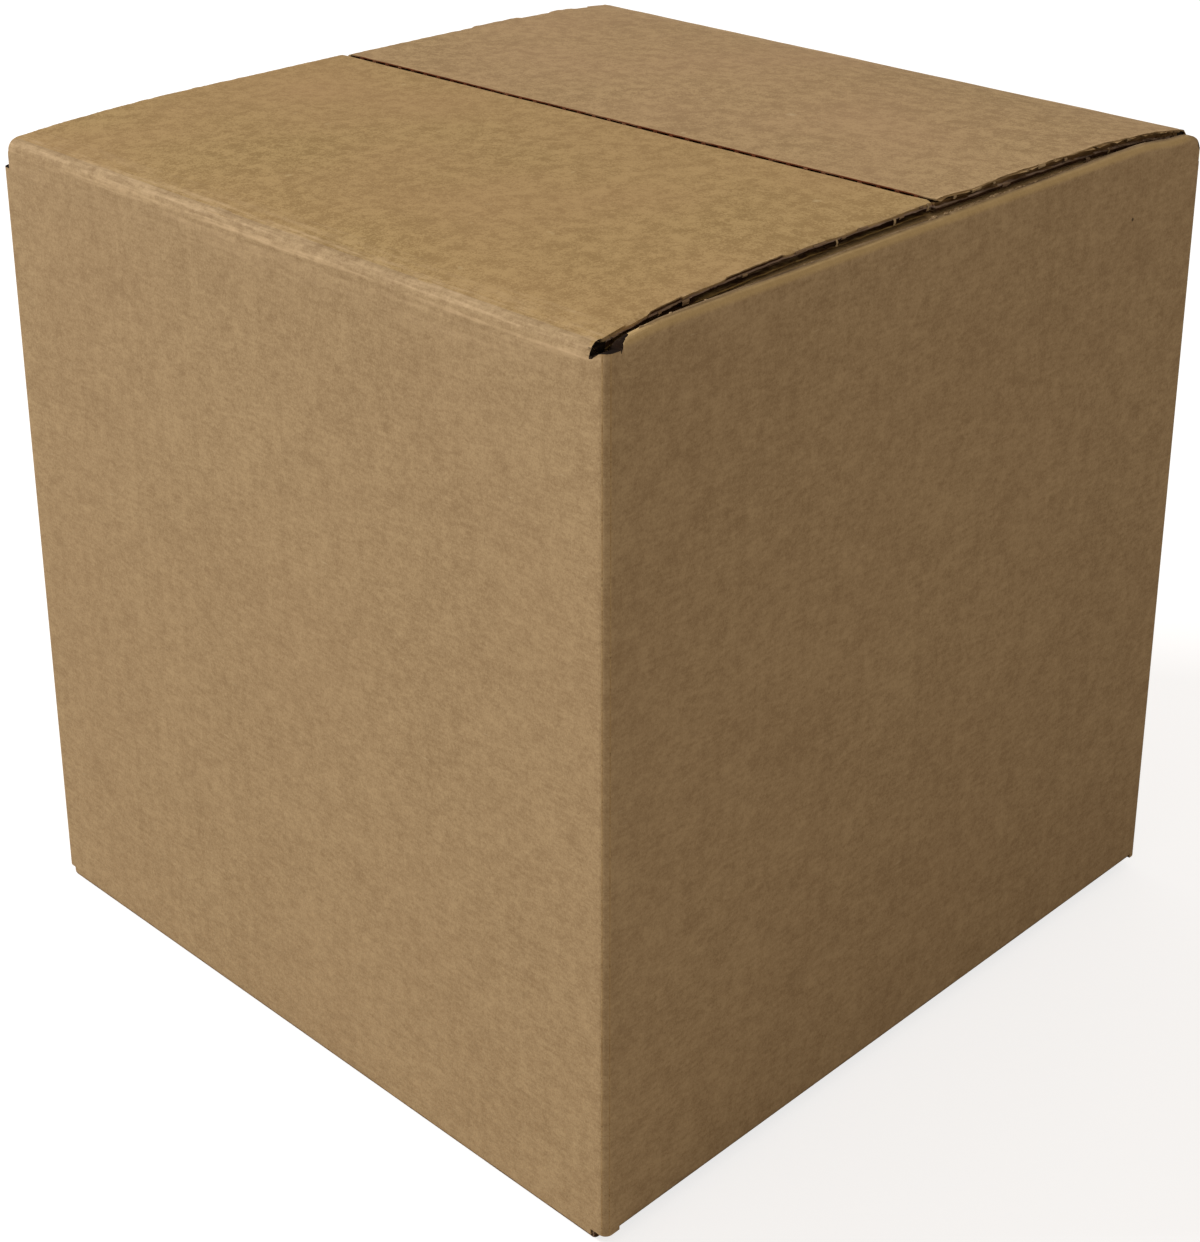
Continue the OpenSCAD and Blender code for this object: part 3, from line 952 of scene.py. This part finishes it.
def body_kind(face):
    """0 liner, 1 cut across the flutes, 2 cut along them, 3 cut in a slot at a corner, painted
    dark as painted shade.
    """
    centre, normal = face.calc_center_median(), face.normal
    u, v = from_end(centre.x), from_face(centre.y)
    slot_x = HALF_L - FLAP_RIGHT if centre.x > 0 else HALF_L + FLAP_LEFT
    above_ring = centre.z > RING_TOP
    if u < slot_x + TOUCH and v < INNER_FRONT + TOUCH and centre.z > SLOT_Z - 8 * MM:
        if abs(normal.z) > 0.9:
            return 3
        out_x = normal.x * math.copysign(1, centre.x) > 0.9 and u < ROLL
        out_y = normal.y * math.copysign(1, centre.y) > 0.9 and v < 1 * MM
        if max(abs(normal.x), abs(normal.y)) > 0.9 and not (out_x or out_y):
            return 3
    # The side edges of the inner flaps near the corners get the slot's cut too: painted shade
    # under the flap ends.
    if (abs(normal.y) > 0.5 and 4.3 * MM < v < 9.5 * MM and centre.z > SLOT_Z - 9 * MM
            and u < SLOT_INNER):
        return 3
    if above_ring and u < slot_x and abs(normal.y) > 0.04 and abs(normal.x) < 0.1:
        return 3
    if centre.z > RING_TOP - 0.05 * MM and v < BOARD + 0.3 * MM:
        return 3 if abs(normal.x) > 0.9 else 0
    if above_ring and u < slot_x:
        return 0
    if abs(centre.x) < GAP_STRIP and centre.z > SLOT_Z - 10 * MM:
        return 1 if 0.05 < body_depth(centre) < 0.95 else 0
    if abs(normal.x) > 0.9:
        return 0 if beside(centre.x, HALF_L, HALF_L - BOARD, HALF_L - 2 * BOARD) else 2
    if abs(normal.y) > 0.9:
        return 0 if beside(centre.y, HALF_W, HALF_W - BOARD) else 2
    return 0


def on_end_face(face):
    return abs(face.normal.x) > 0.9 and from_end(face.calc_center_median().x) < 0.2 * MM


def on_top(face):
    return face.calc_center_median().z > CREASE_Z - 20 * MM


bm = loosened_copy("carton")
bmesh.ops.remove_doubles(bm, verts=bm.verts[:], dist=0.03 * MM)
slice_across(bm, 2, [CREASE_Z - step * MM for step in (40, 25, 18, 14, 11, 8)])
slice_across(bm, 2, [CREASE_Z + step * MM for step in (-2.6, -1.6, -0.8, -0.2, 0.4, 1.0, 1.6)],
             on_end_face)
slice_across(bm, 0, spaced(-HALF_L, HALF_L, 40 * MM))
slice_across(bm, 1, spaced(-HALF_W, HALF_W, 40 * MM))
slice_across(bm, 1, [face * (HALF_W - v * MM) for face in (-1, 1)
                     for v in (9, 12, 15, 18, 22, 27, 33, 40, 48, 57, 67, 90, 130)], on_top)
for side, places in ((1, (3.2, 3.8, 4.4, 5.0, 5.7)), (-1, (3.0, 3.4, 3.8)),
                     (-1, (12, 24, 26)), (1, (12, 24, 26))):
    slice_across(bm, 0, [side * (HALF_L - u * MM) for u in places], on_top)
finish_board(bm, "carton_body", "box", "carton",
             {"depth": body_depth, "wear": body_wear, "shade": corner_shade,
              "painted_highlight": ridge_painted_highlight},
             body_across, body_kind, (wall_liner, seam_cut, low_slit_cut, slot_cut_painted_shade), body_move)

# %% [markdown]
# ## The ledge beside the flap ends
# Between the ends of the outer flaps and the crease of the end wall lies a narrow ledge. The
# closing flaps pressed it, and fine dark lines run along it. Its flat part, under the flap ends,
# also gets painted shade, and its rolled edge a painted highlight. The plain board has too few
# points for such lines, so a thin strip of liner with a fine mesh lies over it.

# %% Shape the pressed ledge
ROLLED = math.radians(62)


def ledge_path(step, side):
    """Distance in from the end wall's face and height below the ledge, step from 0 to 1."""
    flat = LEDGE_END[side] - ROLL
    far = step * (flat + ROLL * ROLLED)
    if far < flat:
        return LEDGE_END[side] - far, 0.0
    turn = (far - flat) / ROLL
    return ROLL - ROLL * math.sin(turn), ROLL * (1 - math.cos(turn))


def pressed_ledge(name, side, seed):
    bm = bmesh.new()
    bmesh.ops.create_grid(bm, x_segments=26, y_segments=300, size=1.0)
    place, wear, shade, painted_highlight = new_marks(bm, "wear", "shade", "painted_highlight")
    board = bm.loops.layers.uv.new("board")
    y_from, y_to = 12 * MM - HALF_W, HALF_W - 9.5 * MM
    for vert in bm.verts:
        step = (vert.co.x + 1) / 2
        y = y_from + (y_to - y_from) * (vert.co.y + 1) / 2
        u, down = ledge_path(step, side)
        rim = min(smooth_step(0, 0.12, 1 - step), smooth_step(0, 3 * MM, y - y_from),
                  smooth_step(0, 3 * MM, y_to - y))
        lines = (wander(y * 24, u * 1500, seed) * 0.22 +
                 wander(y * 110, u * 2600, seed + 3) * 0.12)
        on_flat = 1 - smooth_step(0.55, 0.8, step)
        lift = ((0.05 + 0.16 * on_flat) * rim + lines * rim * (0.25 + 0.75 * on_flat)
                - 0.12 * (1 - rim))
        vert.co = Vector((side * (HALF_L - u), y,
                          ledge_height(side, u, y) - down + lift * MM))
        vert[place] = vert.co
        vert[wear] = 0.2 * rim
        # Painted shade on the flat of the ledge, under the flap ends, together with its pressed
        # lines.
        vert[shade] = on_flat * 0.9
        # Painted highlight on the ledge's rolled edge.
        vert[painted_highlight] = 1.0 - on_flat
    for face in bm.faces:
        for loop in face.loops:
            loop[board].uv = (loop.vert.co.y, loop.vert.co.x)
    thicken(bm, 0.3 * MM, Vector((0, 0, 1)))
    piece = add_piece(bm, name, (wall_liner,))
    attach(piece, "box")


print("ledge in mm, right and left", [round(LEDGE_END[side] / MM, 1) for side in (1, -1)])

# %% [markdown]
# ## Crumbs of paper
# Crumbs from the knife lie on the ledge, most of them beside the rear flap. Nodes could scatter
# them. There are few, so they are small rough balls, pressed flat, at seeded random places.

# %% Lay the ledges and their crumbs
CRUMBS = 90
REAR_CRUMBS = 66


def crumb_row(name, side, seed):
    chance = random.Random(seed)
    bm = bmesh.new()
    place, level = new_marks(bm, "depth")
    for index in range(CRUMBS):
        at_rear = index < REAR_CRUMBS
        y = chance.uniform(-6, 78) * MM if at_rear else chance.uniform(-140, 140) * MM
        fade = 1 - smooth_step(20 * MM, 80 * MM, y) if at_rear else 0.35
        size = chance.uniform(0.4, 0.9) * MM * (0.4 + 0.6 * fade)
        u = chance.uniform(2.6, 4.6) * MM
        made = bmesh.ops.create_icosphere(bm, subdivisions=2, radius=size)
        turn = chance.uniform(0, math.pi)
        stretch = chance.uniform(1.0, 2.2)
        for vert in made["verts"]:
            co = vert.co.copy()
            co *= 1 + 0.45 * noise.noise(co * 2200 + Vector((index, 0, 0)))
            x, y_in = co.x / stretch, co.y * stretch
            vert.co = Vector((side * (HALF_L - u) + x * math.cos(turn * 0.3),
                              y + y_in + x * math.sin(turn) * 0.4,
                              ledge_height(side, u, y) + size * 0.4 + co.z * 0.6))
            vert[level] = chance.choice((0.02, 0.14, 0.5, 0.5))
            vert[place] = vert.co
    piece = add_piece(bm, name, (torn_paper,))
    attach(piece, "box")


for name, side, seed in (("right", 1, 5), ("left", -1, 8)):
    pressed_ledge(name + "_pressed_ledge", side, seed)
    crumb_row(name + "_paper_crumbs", side, seed + 40)

# %% [markdown]
# ## Torn fibres at the flap ends
# The knife left tufts and flakes of liner and medium hanging from the slit ends. Hair strands
# would be too round for paper. Each flake is a small bent strip with its place, width and
# length, hanging over the groove.

# %% Hang the torn flakes
FRONT_FLAKES = (
    (40.0, 2.8, 0.36, 1.6, 0.5), (109.2, 0.9, 0.34, 2.4, 0.02), (112.6, 2.2, 0.3, 0.8, 0.5),
    (138.2, 1.0, 0.34, 2.3, 0.02), (141.8, 2.4, 0.34, 0.9, 0.5), (152.2, 1.6, 0.1, 1.0, 0.5),
    (155.6, 0.8, 0.05, 2.6, 0.1), (29.0, 1.4, 0.3, 1.2, 0.5), (66.0, 2.2, 0.3, 0.9, 0.5),
    (92.0, 5.0, 0.1, 0.8, 0.5), (101.0, 6.0, 0.14, 0.7, 0.5), (122.0, 5.0, 0.1, 0.8, 0.5),
)
BACK_FLAKES = (
    (132.0, 5.0, 0.10, 1.4, 0.05), (115.0, 4.2, 0.62, 1.2, 0.62), (94.5, 4.0, 0.04, 1.3, 0.05),
    (66.0, 2.4, 0.80, 1.5, 0.62), (53.0, 0.8, 0.5, 1.8, 0.1), (122.0, 1.2, 0.2, 0.8, 0.14),
    (103.0, 2.4, 0.1, 0.8, 0.14), (80.0, 1.6, 0.2, 1.0, 0.3), (40.0, 2.6, 0.1, 0.8, 0.14),
    (144.0, 1.4, 0.12, 1.4, 0.1),
)
ROWS = 6
COLUMNS = 5


def torn_flakes(name, body, side, flakes, seed):
    """Flakes hang at the right end. Each: distance from the face, width, depth, length, layer."""
    bm = bmesh.new()
    place, level = new_marks(bm, "depth")
    for index, (v, width, depth, length, layer) in enumerate(flakes):
        grid = {}
        for row in range(ROWS + 1):
            for column in range(COLUMNS + 1):
                down, across = row / ROWS, column / COLUMNS - 0.5
                taper = 1 - 0.55 * down * abs(wander(index, 3, seed)) * 2
                y = side * (HALF_W - (v * MM + across * width * MM * taper))
                bulge = math.sin(math.pi * min(1.0, down * 1.15)) * 0.35 * MM
                curl = wander(index * 3, down * 2.5, across * 2 + seed) * 0.3 * MM
                x = FLAP_RIGHT - 0.25 * MM + bulge + curl + 0.2 * MM * down
                tip = 0.25 * MM * wander(across * 9, index, seed) * down
                z = flap_top(x, y) - depth * BOARD - down * length * MM + tip
                grid[row, column] = vert = bm.verts.new((x, y, z))
                vert[level] = layer
                vert[place] = vert.co
        for row in range(ROWS):
            for column in range(COLUMNS):
                bm.faces.new((grid[row, column], grid[row, column + 1],
                              grid[row + 1, column + 1], grid[row + 1, column]))
    thicken(bm, 0.14 * MM)
    piece = add_piece(bm, name, (torn_paper,))
    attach(piece, body)


torn_flakes("front_flap_flakes", "front_flap", -1, FRONT_FLAKES, 2)
torn_flakes("back_flap_flakes", "back_flap", 1, BACK_FLAKES, 9)

# %% [markdown]
# ## The creases' skin
# At a crease the outer liner runs on from wall to flap without a break. Wall and flap are two
# bodies and can't share one mesh, so a thin strip of liner bridges them and blends between the
# two. Along its edges it dips into the board, so no step shows.

# %% The path over a crease
SKIN_BELOW = 15 * MM
SKIN_OVER = 15 * MM
SKIN_LIFT = 0.10 * MM
SKIN_THICK = 0.35 * MM
SKIN_ARC = CREASE * math.pi / 2
SKIN_LENGTH = SKIN_BELOW - CREASE + SKIN_ARC + SKIN_OVER - CREASE


def crease_path(along):
    """Point and outward direction at a distance along the fold, from the wall to the flap.
    The point is given as distance in from the face and height above the start of the fold."""
    wall_part = SKIN_BELOW - CREASE
    if along < wall_part:
        return 0.0, along - SKIN_BELOW, -1.0, 0.0
    if along < wall_part + SKIN_ARC:
        turn = (along - wall_part) / CREASE
        return (CREASE - CREASE * math.cos(turn), CREASE * math.sin(turn) - CREASE,
                -math.cos(turn), math.sin(turn))
    return along - wall_part - SKIN_ARC + CREASE, 0.0, 0.0, 1.0


print("skin over a crease", round(SKIN_LENGTH / MM, 1), "mm long")

# %% [markdown]
# ## Wrinkles over the fold
# Creasing crushed the board, so the liner lies in small wrinkles there. Relief in the material
# would not show at the outline, so the strip's points are lifted a little. The strip is wall
# liner up to the fold and the flap's own liner beyond it.

# %% Make the skin of both creases
def crease_skin(name, side, flap_liner, seed):
    bm = bmesh.new()
    bmesh.ops.create_grid(bm, x_segments=150, y_segments=44, size=1.0)
    place, wear = new_marks(bm, "wear")
    board = bm.loops.layers.uv.new("board")
    flat = {}
    for vert in bm.verts:
        x = (FLAP_LEFT + FLAP_RIGHT) / 2 + vert.co.x * (FLAP_RIGHT - FLAP_LEFT - 0.6 * MM) / 2
        along = (vert.co.y + 1) / 2 * SKIN_LENGTH
        v, height, out_v, out_z = crease_path(along)
        z = CREASE_Z + height + rise_at(x) * climb(v)
        to_edge = min(along, SKIN_LENGTH - along)
        dip = 0.12 * MM * (1 - smooth_step(0, 1.2 * MM, to_edge))
        wrinkle = (wander(x * 22, along * 420, seed) * 0.20 +
                   wander(x * 70, along * 900, seed + 5) * 0.10)
        lift = (SKIN_LIFT * smooth_step(0, 4 * MM, to_edge) - dip +
                wrinkle * MM * smooth_step(3 * MM, 9 * MM, to_edge))
        at_end = 1 - smooth_step(0, 2.5 * MM, to_end(Vector((x, 0, 0))))
        lift -= (0.14 * MM + lift) * at_end
        vert.co = Vector((x, side * (HALF_W - v - out_v * lift), z + out_z * lift))
        vert[place] = Vector((x, side * (HALF_W - v), z))
        from_fold = abs(along - SKIN_BELOW + 0.6 * MM)
        vert[wear] = 1.0 - 0.75 * smooth_step(2.5 * MM, 8 * MM, from_fold)
        flat[vert] = (x, along)
    for face in bm.faces:
        beyond = sum(flat[vert][1] for vert in face.verts) / len(face.verts) - SKIN_BELOW
        uneven = 0.8 * MM * wander(face.calc_center_median().x * 60, seed, 1.0)
        face.material_index = 1 if beyond > 1.6 * MM + uneven else 0
        for loop in face.loops:
            loop[board].uv = flat[loop.vert]
    thicken(bm, SKIN_THICK, Vector((0, side, 1)))
    piece = add_piece(bm, name, (wall_liner, flap_liner))
    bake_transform(piece)


crease_skin("front_crease_skin", -1, front_liner, 3)
crease_skin("back_crease_skin", 1, back_liner, 17)
